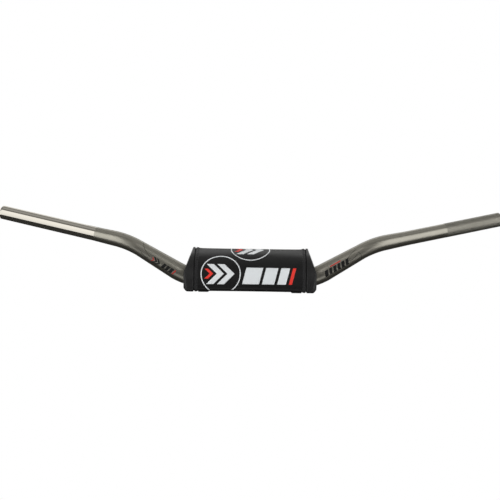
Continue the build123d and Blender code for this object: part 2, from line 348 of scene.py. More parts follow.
# %% The weave group
def weave_group():
    """Crossing threads on a UV map in metres: a height, and a mask for painted shade in the gaps between
    threads.
    """
    tree, given, result = new_tree(
        "ShaderNodeTree",
        "weave",
        [("Vector", "NodeSocketVector", None), ("Pitch", "NodeSocketFloat", 0.001)],
        [("Height", "NodeSocketFloat"), ("Gaps", "NodeSocketFloat")],
    )
    parts = add_node(tree, "ShaderNodeSeparateXYZ", {0: given["Vector"]}).outputs
    turns = calc(tree, "DIVIDE", 2 * math.pi, given["Pitch"])
    across, down = (calc(tree, "MULTIPLY", parts[label], turns) for label in ("X", "Y"))
    ribs = calc(tree, "SINE", calc(tree, "ADD", across, calc(tree, "MULTIPLY", down, 0.5)))
    crossing = calc(tree, "SINE", down)
    height = calc(tree, "ADD", calc(tree, "MULTIPLY", ribs, 0.55), calc(tree, "MULTIPLY", crossing, 0.45))
    tree.links.new(height, result["Height"])
    # Painted shade mask: 1 in the low gaps between the threads, 0 on their tops.
    tree.links.new(ranged(tree, height, -0.2, -0.8), result["Gaps"])
    return tree


GRAIN, DUST, WEAVE = grain_group(), dust_group(), weave_group()
print("shader groups", [group.name for group in (GRAIN, DUST, WEAVE)])

# %% [markdown]
# ## Materials
#
# Each material has the colour, roughness and relief of one real finish. Numbers that are the same
# all over the surface are typed into the shader itself; only what changes from place to place comes
# through nodes.


# %% Material helpers
def new_material(name, roughness, specular=0.5, metallic=0.0):
    """A material with a Principled shader, its node tree and the shader."""
    material = bpy.data.materials.new(name)
    material.use_nodes = True
    shader = material.node_tree.nodes["Principled BSDF"]
    shader.inputs["Roughness"].default_value = roughness
    shader.inputs["Metallic"].default_value = metallic
    shader.inputs["Specular IOR Level"].default_value = specular
    return material, material.node_tree, shader.inputs


def use_group(tree, group, **values):
    """The outputs of a shader group placed in a material with these values."""
    node = add_node(tree, "ShaderNodeGroup", node_tree=group)
    for label, value in values.items():
        if isinstance(value, bpy.types.NodeSocket):
            tree.links.new(value, node.inputs[label])
        else:
            node.inputs[label].default_value = value
    return node.outputs


def texture_place(tree, output):
    """The place on the piece: Object is in metres, and UV is the piece's own map."""
    return tree.nodes.new("ShaderNodeTexCoord").outputs[output]


def add_relief(tree, shader, height, distance):
    """Relief of this height in metres."""
    bump = add_node(tree, "ShaderNodeBump", {"Height": height, "Distance": distance})
    tree.links.new(bump.outputs["Normal"], shader["Normal"])


# %% Soft black materials
def grained_black(name, base, dusty, amount, roughness, grain_size, relief, specular):
    """Black vinyl, foam skin or rubber with a fine grain and a little dust."""
    material, tree, shader = new_material(name, roughness, specular)
    place = texture_place(tree, "Object")
    grain = use_group(tree, GRAIN, Vector=place, Size=grain_size)
    colors = {"Base": (*base, 1), "Dusty": (*dusty, 1)}
    dust = use_group(tree, DUST, Vector=place, Amount=amount, Roughness=roughness, **colors)
    tree.links.new(dust["Color"], shader["Base Color"])
    tree.links.new(dust["Roughness"], shader["Roughness"])
    add_relief(tree, shader, grain["Height"], relief)
    return material


vinyl = grained_black(
    "cover_vinyl", (0.0042, 0.0042, 0.0045), (0.018, 0.018, 0.0185), 0.25, 0.36, 0.0007, 0.00005, 0.32
)
cap_skin = grained_black(
    "cap_skin", (0.0055, 0.0055, 0.006), (0.02, 0.02, 0.021), 0.3, 0.38, 0.0005, 0.00006, 0.45
)
foam = grained_black("foam", (0.016, 0.016, 0.017), (0.06, 0.06, 0.06), 0.40, 0.85, 0.0009, 0.0003, 0.25)


# %% Woven materials
def woven(name, base, gap, pitch, relief, roughness):
    """Webbing or tape: crossing threads with painted shade in the gaps between them."""
    material, tree, shader = new_material(name, roughness, 0.3)
    weave = use_group(tree, WEAVE, Vector=texture_place(tree, "UV"), Pitch=pitch)
    # Painted shade: the colour darkens to the gap colour in the low gaps between threads.
    tree.links.new(mixed(tree, weave["Gaps"], (*base, 1), (*gap, 1)), shader["Base Color"])
    shader["Sheen Weight"].default_value = 0.15
    shader["Sheen Roughness"].default_value = 0.4
    add_relief(tree, shader, weave["Height"], relief)
    return material


# The second colour of each is the painted shade in the gaps between its threads.
webbing = woven("webbing", (0.030, 0.030, 0.032), (0.007, 0.007, 0.007), 0.0011, 0.00012, 0.65)
tape = woven("binding_tape", (0.014, 0.014, 0.015), (0.005, 0.005, 0.005), 0.0007, 0.00008, 0.6)
pile_backing = woven("pile_backing", (0.02, 0.02, 0.021), (0.008, 0.008, 0.008), 0.0009, 0.0001, 0.9)


# %% Threads, printed films and inks
def plain_finish(name, color, patch_color, roughness, specular=0.4, metallic=0.0):
    """A mostly even finish whose colour shifts a little from patch to patch."""
    material, tree, shader = new_material(name, roughness, specular, metallic)
    grain = use_group(tree, GRAIN, Vector=texture_place(tree, "Object"), Size=0.0006)
    tree.links.new(mixed(tree, grain["Patches"], (*color, 1), (*patch_color, 1)), shader["Base Color"])
    add_relief(tree, shader, grain["Height"], 0.00002)
    return material


thread = plain_finish("black_thread", (0.018, 0.018, 0.019), (0.028, 0.028, 0.03), 0.55)
hook_nylon = plain_finish("hook_nylon", (0.012, 0.012, 0.012), (0.02, 0.02, 0.02), 0.4)
white_film = plain_finish("white_film", (0.88, 0.91, 0.93), (0.84, 0.88, 0.905), 0.42)
red_film = plain_finish("red_film", (0.95, 0.045, 0.028), (0.88, 0.036, 0.024), 0.42)
black_ink = plain_finish("black_ink", (0.004, 0.004, 0.004), (0.007, 0.007, 0.007), 0.5, 0.3)
red_ink = plain_finish("red_ink", (0.55, 0.030, 0.022), (0.48, 0.024, 0.018), 0.5, 0.3)
etched_line = plain_finish("etched_line", (0.012, 0.017, 0.015), (0.018, 0.024, 0.021), 0.6, 0.2)

# %% [markdown]
# ## The tube's centre line
#
# The bar runs straight through the clamps, bends up, runs up a steep stretch, and bends again, this
# time out and back, to the grip. Both halves are the same. The outside is 28.6 mm through the clamps
# and the first bend, shrinks along the steep stretch, and reaches the 22.2 mm of the grip a little
# past the second bend.

# %% The tube's shape
BAR_CORNERS = ((0.097, 0, 0), (0.191, 0, 0.056), (0.400, 0.052, 0.092))
BEND_RADII = (0.085, 0.100)
CLAMP_RADIUS, BEND_RADIUS, GRIP_RADIUS = 0.0143, 0.0119, 0.0111
CLAMP_BORE, GRIP_BORE = 0.0103, 0.0080
END_CHAMFER = 0.0008
GRIP_TAPER = 0.035

other_half = [(-x, y, z) for x, y, z in reversed(BAR_CORNERS)]
bar_axis = rounded_path(other_half + list(BAR_CORNERS), [*reversed(BEND_RADII), *BEND_RADII])
half_bar = bar_axis[2][-1] / 2


def run_ends():
    """How far from the middle the steep stretch begins and ends, and where the grip stretch begins."""
    _, directions, reach = bar_axis
    turning = np.linalg.norm(np.diff(directions, axis=0), axis=1) > 1e-6
    bends = reach[1:][turning & (reach[1:] > half_bar)] - half_bar
    gap = int(np.argmax(np.diff(bends)))
    return bends[gap], bends[gap + 1], bends[-1]


riser_from, riser_to, grip_from = run_ends()


def tube_radius(middle, clamp=CLAMP_RADIUS, bend=BEND_RADIUS, grip=GRIP_RADIUS):
    """The tube's radius at this distance from the middle, for its outside or for its bore."""
    stops = [0, riser_from, riser_to, grip_from, grip_from + GRIP_TAPER, half_bar]
    return np.interp(np.abs(middle), stops, [clamp, clamp, bend, bend, grip, grip])


def middle_at(x):
    """The distance along the bar from its middle to where its centre line is at this x."""
    return float(np.interp(x, bar_axis[0][:, 0], bar_axis[2])) - half_bar


polish_from = middle_at(-0.243)
knurl_from = middle_at(0.308)
print("bar", round(2 * half_bar, 4), "steep stretch", round(riser_from, 4), round(riser_to, 4))

# %% [markdown]
# ## Rolling flat layouts onto the bar
#
# The tube, its knurl and its printed marks all follow the same bent centre line. They are laid out
# flat, as on a label before it is stuck on: X is the distance along the bar, Y is the angle round
# it, and Z is how far the point is from the centre line. One geometry tree then rolls any such
# layout onto the bar. Angle 0 is the top of the bar and a quarter turn is its front.


# %% The tree that rolls a layout onto the bar
def roll_tree():
    """Move each point of a flat layout to its place round the bar's centre line."""
    tree, given, result = new_tree(
        "GeometryNodeTree",
        "roll_onto_bar",
        [
            ("Geometry", "NodeSocketGeometry", None),
            ("Centre Line", "NodeSocketObject", None),
            ("Half Length", "NodeSocketFloat", 0.4),
            ("Material", "NodeSocketMaterial", None),
        ],
        [("Geometry", "NodeSocketGeometry")],
    )
    line = add_node(tree, "GeometryNodeObjectInfo", {"Object": given["Centre Line"]}).outputs["Geometry"]
    curve = add_node(tree, "GeometryNodeMeshToCurve", {"Mesh": line}).outputs["Curve"]
    position = tree.nodes.new("GeometryNodeInputPosition").outputs[0]
    flat = add_node(tree, "ShaderNodeSeparateXYZ", {0: position}).outputs
    length = calc(tree, "ADD", flat["X"], given["Half Length"])
    sample = add_node(
        tree, "GeometryNodeSampleCurve", {"Curves": curve, "Length": length}, mode="LENGTH"
    ).outputs
    way = sample["Tangent"]
    steep = vector_calc(tree, "DOT_PRODUCT", way, (0, 0, 1), 1)
    level = scaled(tree, way, calc(tree, "MULTIPLY", steep, -1.0))
    up = vector_calc(tree, "NORMALIZE", vector_calc(tree, "ADD", level, (0, 0, 1)), (0, 0, 0))
    front = vector_calc(tree, "CROSS_PRODUCT", way, up)
    high = scaled(tree, up, calc(tree, "MULTIPLY", calc(tree, "COSINE", flat["Y"]), flat["Z"]))
    near = scaled(tree, front, calc(tree, "MULTIPLY", calc(tree, "SINE", flat["Y"]), flat["Z"]))
    place = vector_calc(tree, "ADD", sample["Position"], vector_calc(tree, "ADD", high, near))
    moved = add_node(
        tree, "GeometryNodeSetPosition", {"Geometry": given["Geometry"], "Position": place}
    ).outputs[0]
    finish_tree(tree, moved, given["Material"], result[0])
    return tree


def line_object(name, points):
    """A chain of straight edges through these points."""
    mesh = bpy.data.meshes.new(name)
    mesh.from_pydata([tuple(p) for p in points], [(i, i + 1) for i in range(len(points) - 1)], [])
    return show(mesh, name)


centre_line = line_object("bar_centre_line", bar_axis[0])
ROLL = roll_tree()


def roll_onto_bar(flat, name, material):
    """A flat layout rolled onto the bar, as a plain mesh whose faces point outwards."""
    piece = grow(ROLL, flat, name, centre_line=centre_line, half_length=half_bar, material=material)
    face_outwards(piece)
    return piece


print("centre line of", len(centre_line.data.vertices), "points")

# %% [markdown]
# ## The tube's finish
#
# The whole bar is one metal with three finishes, so one material covers it. It reads how far along
# the bar it is from the tube's own UV map, and changes there from blasted to polished. On the steep
# stretches the real bar has a faint laser-marked pattern of short dashes, which fades out towards
# the bends. The marking is a slight change in colour and roughness with almost no depth.

# %% The tube's material
METAL_COLOR = (0.345, 0.332, 0.286)
MARKED_COLOR = (0.150, 0.143, 0.124)
POLISHED_COLOR = (0.50, 0.475, 0.42)
DASH_LENGTH, DASH_ROWS = 0.0016, 36


def laser_marking(tree, middle, turn):
    """Rows of short dashes on the upper front of the steep stretches, from 0 to 1."""
    rows = calc(tree, "MULTIPLY", turn, DASH_ROWS)
    shift = calc(tree, "MULTIPLY", calc(tree, "MODULO", calc(tree, "FLOOR", rows), 2.0), 0.5)
    steps = calc(tree, "ADD", calc(tree, "DIVIDE", middle, DASH_LENGTH), shift)
    in_step = calc(tree, "LESS_THAN", calc(tree, "FRACT", steps), 0.55)
    in_row = calc(tree, "LESS_THAN", calc(tree, "FRACT", rows), 0.72)
    distance = calc(tree, "ABSOLUTE", middle)
    begin = ranged(tree, distance, riser_from - 0.02, riser_from)
    end = ranged(tree, distance, riser_from + 0.012, riser_to - 0.008, 1.0, 0.0)
    lower = ranged(tree, turn, 0.70, 0.84, 1.0, 0.0)
    marking = calc(tree, "MULTIPLY", in_step, in_row)
    for fade in (begin, end, lower):
        marking = calc(tree, "MULTIPLY", marking, fade)
    return marking


def bar_metal():
    """Anodised aluminium: blasted, polished at the throttle end, laser-marked near the pad."""
    material, tree, shader = new_material("bar_metal", 0.34, metallic=1.0)
    parts = add_node(tree, "ShaderNodeSeparateXYZ", {0: texture_place(tree, "UV")}).outputs
    polished = calc(tree, "LESS_THAN", parts["X"], polish_from)
    marking = calc(tree, "MULTIPLY", laser_marking(tree, parts["X"], parts["Y"]), 0.55)
    grain = use_group(tree, GRAIN, Vector=texture_place(tree, "Object"), Size=0.00028)
    darker = [c * 0.94 for c in METAL_COLOR]
    tone = mixed(tree, grain["Patches"], (*METAL_COLOR, 1), (*darker, 1))
    tone = mixed(tree, marking, tone, (*MARKED_COLOR, 1))
    tree.links.new(mixed(tree, polished, tone, (*POLISHED_COLOR, 1)), shader["Base Color"])
    blasted = calc(tree, "ADD", 0.32, calc(tree, "MULTIPLY", marking, 0.2))
    smoother = calc(tree, "MULTIPLY", polished, -0.25)
    tree.links.new(calc(tree, "ADD", blasted, smoother), shader["Roughness"])
    even = ranged(tree, polished, 0.0, 1.0, 1.0, 0.02)
    add_relief(tree, shader, calc(tree, "MULTIPLY", grain["Height"], even), 0.000022)
    return material


metal = bar_metal()
knurled_metal = plain_finish("knurled_metal", (0.255, 0.246, 0.214), (0.225, 0.217, 0.19), 0.45, 0.5, 1.0)
print("materials", len(bpy.data.materials))

# %% [markdown]
# ## The tube
#
# The layout is rings of points: along the outside to one end, over a chamfer into the bore, and
# back through the bore, so the tube is one closed skin with a real wall. Its UV map holds the
# distance from the middle in metres and the share of a turn, starting underneath.

# %% The tube's mesh
RING_POINTS = 96
LIP_OUT, LIP_IN = GRIP_RADIUS - END_CHAMFER, GRIP_BORE + END_CHAMFER / 2


def tube_stations():
    """Distance from the middle and radius of each ring, out along the skin and back down the bore."""
    reach = half_bar - END_CHAMFER
    outside, bore = np.linspace(-reach, reach, 340), np.linspace(reach, -reach, 170)
    skin = np.stack([outside, tube_radius(outside)], axis=1)
    hole = np.stack([bore, tube_radius(bore, CLAMP_BORE, GRIP_BORE, GRIP_BORE)], axis=1)
    lips = [(half_bar, LIP_OUT), (half_bar, LIP_IN), (-half_bar, LIP_IN), (-half_bar, LIP_OUT)]
    return np.concatenate([skin, lips[:2], hole, lips[2:]])


def make_tube():
    """The whole bar as one closed skin."""
    stations = tube_stations()
    turns = np.arange(RING_POINTS) / RING_POINTS
    middle, turn = np.meshgrid(stations[:, 0], turns, indexing="ij")
    radius = np.repeat(stations[:, 1:], RING_POINTS, axis=1)
    flat = np.stack([middle, math.pi + 2 * math.pi * turn, radius], axis=-1)
    faces, corners = grid_faces(len(stations), RING_POINTS, close_rows=True, close_columns=True)
    uvs = [(stations[r % len(stations), 0], c / RING_POINTS) for r, c in corners]
    return roll_onto_bar(new_piece("tube_layout", flat.reshape(-1, 3), faces, metal, uvs), "tube", metal)


tube = make_tube()
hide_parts("handlebar_tube")
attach(tube, PAD_BODY)
print("tube faces", len(tube.data.polygons))

# %% [markdown]
# ## The knurl
#
# The grip on the clutch side is glued on, so that end of the bar is knurled: a pattern of small
# raised diamonds that gives the glue something to hold. Each diamond is one low pyramid, and a
# geometry tree sets one on each point of a flat lattice before the sheet is rolled onto the bar.

# %% The knurl
KNURL_PITCH, KNURL_HEIGHT = 0.0016, 0.00022


def knurl_tree():
    """Set a low diamond on every point of the base and sink its edges into the tube."""
    tree, given, result = new_tree(
        "GeometryNodeTree",
        "knurl_diamonds",
        [
            ("Geometry", "NodeSocketGeometry", None),
            ("Half Step Along", "NodeSocketFloat", 0.0008),
            ("Half Step Round", "NodeSocketFloat", 0.07),
            ("Height", "NodeSocketFloat", 0.0002),
            ("Material", "NodeSocketMaterial", None),
        ],
        [("Geometry", "NodeSocketGeometry")],
    )
    inputs = {"Vertices": 4, "Side Segments": 1, "Radius Top": 0.0, "Radius Bottom": 1.0, "Depth": 1.0}
    cone = add_node(tree, "GeometryNodeMeshCone", inputs, fill_type="NGON").outputs["Mesh"]
    parts = {"X": given["Half Step Along"], "Y": given["Half Step Round"], "Z": given["Height"]}
    size = add_node(tree, "ShaderNodeCombineXYZ", parts).outputs[0]
    inputs = {"Points": given["Geometry"], "Instance": cone, "Scale": size}
    spread = add_node(tree, "GeometryNodeInstanceOnPoints", inputs).outputs[0]
    finish_tree(tree, spread, given["Material"], result[0])
    return tree


def make_knurl():
    """Rows of diamonds from where the grip begins to the end of the bar."""
    rows = round(2 * math.pi * GRIP_RADIUS / KNURL_PITCH)
    steps = int((half_bar - END_CHAMFER - knurl_from) / (KNURL_PITCH / 2))
    lattice = [
        (knurl_from + (i + 0.5) * KNURL_PITCH / 2, 2 * math.pi * (j + i % 2 / 2) / rows)
        for i in range(steps)
        for j in range(rows)
    ]
    mesh = bpy.data.meshes.new("knurl_lattice")
    mesh.from_pydata([(m, a, float(tube_radius(m)) - 0.00004) for m, a in lattice], [], [])
    sizes = {"half_step_along": KNURL_PITCH / 2, "half_step_round": math.pi / rows, "height": KNURL_HEIGHT}
    flat = grow(knurl_tree(), show(mesh, "knurl_lattice"), "knurl_flat", material=knurled_metal, **sizes)
    return roll_onto_bar(flat, "grip_knurl", knurled_metal)


knurl = make_knurl()
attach(knurl, PAD_BODY)
print("knurl faces", len(knurl.data.polygons))

# %% [markdown]
# ## Printed marks on the bar
#
# Each steep stretch carries printed marks in black and red. They are generic: chevrons and slanted
# bars, the same shapes as on the pad. Each shape is a small grid drawn flat, in metres, with its
# middle at the origin, so the same drawings serve the bar and the pad.


# %% Flat shapes
def slanted_bar(start, width, low, high, slant=14.0, rows=9, columns=7):
    """A bar that leans towards +X and crosses the line halfway up at start."""
    up, across = np.meshgrid(np.linspace(low, high, rows), np.linspace(0, width, columns), indexing="ij")
    return np.stack([start + across + up * math.tan(math.radians(slant)), up], axis=-1)


def chevron(tip, reach, arm, rows=33, columns=9):
    """A V on its side that points towards +X."""
    up, across = np.meshgrid(np.linspace(-reach, reach, rows), np.linspace(0, arm, columns), indexing="ij")
    return np.stack([tip - arm + across - np.abs(up), up], axis=-1)


def ring(radius, line, count=160):
    """A closed ring, with the ring's points as rows."""
    turns = 2 * math.pi * np.arange(count) / count
    turn, reach = np.meshgrid(turns, [radius, radius - line / 2, radius - line], indexing="ij")
    return np.stack([reach * np.cos(turn), reach * np.sin(turn)], axis=-1)


def join(pieces, name):
    """Several plain meshes as one."""
    if len(pieces) > 1:
        with bpy.context.temp_override(active_object=pieces[0], selected_editable_objects=pieces):
            bpy.ops.object.join()
    pieces[0].name = pieces[0].data.name = name
    return pieces[0]


# %% Marks laid on the bar
INK_THICKNESS = 0.00006


def print_on_bar(shapes, name, material, middle, turn_down):
    """Flat shapes laid on the bar round this place, as one thin film."""
    pieces = []
    for shape in shapes:
        along_bar = middle + shape[..., 0]
        radius = tube_radius(along_bar)
        angle = math.radians(90 + turn_down) - shape[..., 1] / radius
        outer = np.stack([along_bar, angle, radius + INK_THICKNESS], axis=-1)
        inner = np.stack([along_bar, angle, radius - INK_THICKNESS], axis=-1)
        pieces.append(slab("ink", outer, inner, material, shape))
    piece = roll_onto_bar(join(pieces, "ink_layout"), name, material)
    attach(piece, PAD_BODY)


def bar_marks():
    """The printed marks of both steep stretches."""
    mark = [chevron(-0.0128, 0.0052, 0.0034), chevron(-0.0076, 0.0052, 0.0034)]
    mark += [slanted_bar(start, 0.0052, -0.0042, 0.0042) for start in (-0.0035, 0.0032, 0.0099)]
    left = middle_at(-0.133)
    print_on_bar(mark, "throttle_side_mark", black_ink, left, 8)
    accent = [chevron(-0.0180, 0.0030, 0.0022, 17, 5), slanted_bar(0.0166, 0.0022, -0.0042, 0.0042)]
    print_on_bar(accent, "throttle_side_mark_accent", red_ink, left, 8)
    starts = (-0.0225, -0.0145, -0.0075, -0.0002, 0.0068, 0.0142)
    widths = (0.0058, 0.0046, 0.0050, 0.0048, 0.0052, 0.0050)
    bars = [slanted_bar(s, w, -0.0050, 0.0045, 20.0) for s, w in zip(starts, widths)]
    right = middle_at(0.136)
    print_on_bar(bars, "clutch_side_mark", black_ink, right, 1)
    line = [slanted_bar(-0.0125, 0.0185, 0.0056, 0.0074, 20.0)]
    print_on_bar(line, "clutch_side_mark_line", red_ink, right, 1)


bar_marks()


# %% [markdown]
# ## Etched lines
#
# Beyond the printed marks, thin curved lines are etched across the bar and meet like the edges of
# a leaf. Each is a narrow ribbon along a smooth curve that three places on the bar steer.


# %% Etched lines
def etched_ribbon(places, width=0.0006, count=40):
    """A narrow flat ribbon steered by three places, each an x and an angle in degrees from the top."""
    t = np.linspace(0, 1, count)
    weights = np.stack([(1 - t) ** 2, 2 * t * (1 - t), t**2])
    middles = np.array([middle_at(x) for x, _ in places]) @ weights
    angles = np.radians([a for _, a in places]) @ weights
    radius = tube_radius(middles)
    path = np.stack([middles, angles * radius], axis=-1)
    way = np.gradient(path, axis=0)
    side = np.stack([-way[:, 1], way[:, 0]], axis=-1) / np.linalg.norm(way, axis=1, keepdims=True)
    edges = [path + side * width * k for k in (-0.5, 0.5)]
    flat = [np.stack([e[:, 0], e[:, 1] / radius, radius], axis=-1) for e in edges]
    grid = np.stack(flat, axis=1)
    lift = np.array([0, 0, INK_THICKNESS * 0.7])
    return slab("etching", grid + lift, grid - lift, etched_line, np.stack(edges, axis=1))


ETCHED = {
    "throttle_side": (
        ((-0.1722, 18), (-0.1720, 62), (-0.1560, 92)),
        ((-0.1712, 86), (-0.1660, 116), (-0.1570, 108)),
    ),
    "clutch_side": (
        ((0.1526, 80), (0.1585, 50), (0.1690, 42)),
        ((0.1540, 98), (0.1620, 98), (0.1676, 76)),
        ((0.1690, 66), (0.1735, 96), (0.1676, 142)),
    ),
}
for side, curves in ETCHED.items():
    ribbons = join([etched_ribbon(curve) for curve in curves], "etching_layout")
    lines = roll_onto_bar(ribbons, f"etched_lines_{side}", etched_line)
    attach(lines, PAD_BODY)

# %% [markdown]
# ## The pad's cover
#
# The cover is vinyl pulled tight round foam. Its two side edges are held by their hems and its two
# long edges are glued underneath, and between them it gives: it bulges a little over the flat foam
# and sinks a little where it is pulled round the corners. A cloth simulation gives that shape. It
# runs on a coarse sheet at ten times the size, where the solver behaves better, and what it finds
# is kept only as a small shift of each point, eased to a millimetre at most, so that the cover stays
# on its foam. Where the straps press on the cover it cannot move either.

# %% The pad's section
PAD_DEPTH, PAD_BOTTOM, PAD_HEIGHT, FLAP = 0.068, -0.0151, 0.061, 0.012
FRONT_LEAN, TOP_SLOPE = math.radians(8), math.radians(12)
PAD_RADII = (0.005, 0.045, 0.010, 0.005)
COVER_HALF = 0.086
COVER_THICKNESS = 0.0012
STRAP_X, STRAP_WIDTH, STRAP_TIP_Z = 0.072, 0.016, 0.0149


def pad_section():
    """The cover's outside as a path in the YZ plane, from the front flap's edge to the rear one's."""
    lean, slope = math.tan(FRONT_LEAN), math.tan(TOP_SLOPE)
    rise = (PAD_HEIGHT - slope * PAD_DEPTH) / (1 - slope * lean)
    half = PAD_DEPTH / 2
    corners = [
        (0, FLAP - half, PAD_BOTTOM),
        (0, -half, PAD_BOTTOM),
        (0, lean * rise - half, PAD_BOTTOM + rise),
        (0, half, PAD_BOTTOM + PAD_HEIGHT),
        (0, half, PAD_BOTTOM),
        (0, half - FLAP, PAD_BOTTOM),
    ]
    return rounded_path(corners, PAD_RADII, 0.0002)


pad_path = pad_section()
pad_reach = pad_path[2][-1]


def outward(way):
    """The direction out of the pad's section where its path runs this way."""
    return np.stack([np.zeros_like(way[..., 0]), -way[..., 2], way[..., 1]], axis=-1)


def pad_place(x, s):
    """Points on the pad's plain section, and the outward direction at each."""
    place, way = along(pad_path, s)
    return np.stack([x + 0 * s, place[..., 1], place[..., 2]], axis=-1), outward(way)


print("cover is", round(pad_reach * 1000, 1), "mm round")

# %% The cloth simulation
SIM_SCALE = 10.0
SIM_COLUMNS, SIM_ROWS = 88, 112
SIM_FRAMES = 20
CLOTH_PRESSURE = 4.0  # outwards
CLOTH_SHRINK = 0.02
HELD_AT_HEMS, HELD_AT_FLAPS = 0.003, 0.004
MOST_SHIFT = 0.0010


def simulated_shift():
    """How far the taut cover moves out of the plain section, on a coarse grid."""
    rows, columns = np.linspace(0, pad_reach, SIM_ROWS), np.linspace(-COVER_HALF, COVER_HALF, SIM_COLUMNS)
    s, x = np.meshgrid(rows, columns, indexing="ij")
    flat, out = pad_place(x, s)
    faces, _ = grid_faces(SIM_ROWS, SIM_COLUMNS)
    sheet = new_piece("cover_sheet", flat.reshape(-1, 3) * SIM_SCALE, faces, vinyl)
    hemmed = np.abs(x) > COVER_HALF - HELD_AT_HEMS
    glued = (s < HELD_AT_FLAPS) | (s > pad_reach - HELD_AT_FLAPS)
    beside_strap = np.abs(np.abs(x) - STRAP_X) < STRAP_WIDTH / 2 + 0.001
    strapped = beside_strap & (flat[..., 2] < STRAP_TIP_Z + 0.001) & (s > pad_reach / 2)
    held = sheet.vertex_groups.new(name="held")
    held.add(np.flatnonzero((hemmed | glued | strapped).ravel()).tolist(), 1.0, "REPLACE")
    cloth = sheet.modifiers.new("cloth", "CLOTH").settings
    cloth.quality = 6
    cloth.mass = 0.2
    cloth.tension_stiffness = cloth.compression_stiffness = 20
    cloth.bending_stiffness = 2
    cloth.shrink_min = CLOTH_SHRINK
    cloth.use_pressure = True
    cloth.uniform_pressure_force = CLOTH_PRESSURE
    cloth.effector_weights.gravity = 0
    cloth.vertex_group_mass = "held"
    scene = bpy.context.scene
    scene.frame_start, scene.frame_end = 1, SIM_FRAMES
    for frame_number in range(1, SIM_FRAMES + 1):
        scene.frame_set(frame_number)
    graph = bpy.context.evaluated_depsgraph_get()
    settled = bpy.data.meshes.new_from_object(sheet.evaluated_get(graph), depsgraph=graph)
    points = np.empty(len(settled.vertices) * 3)
    settled.vertices.foreach_get("co", points)
    bpy.data.objects.remove(sheet)
    scene.frame_set(1)
    moved = points.reshape(SIM_ROWS, SIM_COLUMNS, 3) / SIM_SCALE - flat
    shift = (moved * out).sum(axis=-1)
    print("cloth moved from", round(shift.min() * 1000, 2), "to", round(shift.max() * 1000, 2), "mm")
    return MOST_SHIFT * np.tanh(shift / MOST_SHIFT)


cover_shift = simulated_shift()


# %% [markdown]
# ## Points on the finished cover
#
# Everything on the cover, such as the hems, the stitches and the graphics, has to follow the shape
# that the simulation found. One function therefore gives any point on the finished cover. It adds
# the small puckers that the sewn hems pull into the vinyl where it turns over the top.


# %% Points on the cover
def pucker(x, s):
    """Small folds beside the hems, strongest over the shoulder and at the rear corner."""
    from_edge = COVER_HALF - np.abs(x)
    fade = np.exp(-(((from_edge - 0.005) / 0.0045) ** 2))
    bends = 0.35 + 0.65 * np.exp(-(((s - 0.066) / 0.022) ** 2)) + 0.5 * np.exp(-(((s - 0.104) / 0.010) ** 2))
    phase = 2 * math.pi * s / 0.0046 + 1.3 * np.sin(s * 190 + np.sign(x)) + np.sign(x)
    return 0.00013 * fade * bends * np.sin(phase)


def cover_point(x, s, out=0.0):
    """Points on the finished cover, this far outside its surface."""
    x, s = np.broadcast_arrays(np.asarray(x, float), np.asarray(s, float))
    place, normal = pad_place(x, s)
    column = np.clip((x / COVER_HALF + 1) / 2, 0, 1) * (SIM_COLUMNS - 1)
    row = np.clip(s / pad_reach, 0, 1) * (SIM_ROWS - 1)
    c, r = np.minimum(column.astype(int), SIM_COLUMNS - 2), np.minimum(row.astype(int), SIM_ROWS - 2)
    u, v = column - c, row - r
    shift = (1 - v) * ((1 - u) * cover_shift[r, c] + u * cover_shift[r, c + 1])
    shift = shift + v * ((1 - u) * cover_shift[r + 1, c] + u * cover_shift[r + 1, c + 1])
    return place + normal * (shift + pucker(x, s) + out)[..., None]


# %% The cover
def cover_grids():
    """Where the cover's columns and rows run: closer together beside the hems."""
    edge = np.linspace(0, 0.014, 18)
    middle = np.linspace(0.014, 2 * COVER_HALF - 0.014, 74)[1:-1]
    columns = np.concatenate([edge, middle, 2 * COVER_HALF - edge[::-1]]) - COVER_HALF
    return np.meshgrid(np.linspace(0, pad_reach, 250), columns, indexing="ij")


def make_cover():
    """The vinyl wrap, with its thickness and its rounded edges."""
    s, x = cover_grids()
    rounding = 0.0004 * (1 - np.clip((COVER_HALF - np.abs(x)) / 0.0008, 0, 1)) ** 2
    outer = cover_point(x, s, -rounding)
    inner = cover_point(x, s, rounding - COVER_THICKNESS)
    return slab("cover", outer, inner, vinyl, np.stack([x, s], axis=-1))


cover = make_cover()
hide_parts("pad_cover")
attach(cover, PAD_BODY)
print("cover faces", len(cover.data.polygons))

# %% [markdown]
# ## The foam core and the end caps
#
# Both are moulded foam, so their edges are soft and no face is quite flat. The CAD solids already
# have the right form. A copy of each is merged, rebuilt as small even cells, and smoothed, which
# rounds every edge a little, and then each point is moved very slightly along a slow noise.


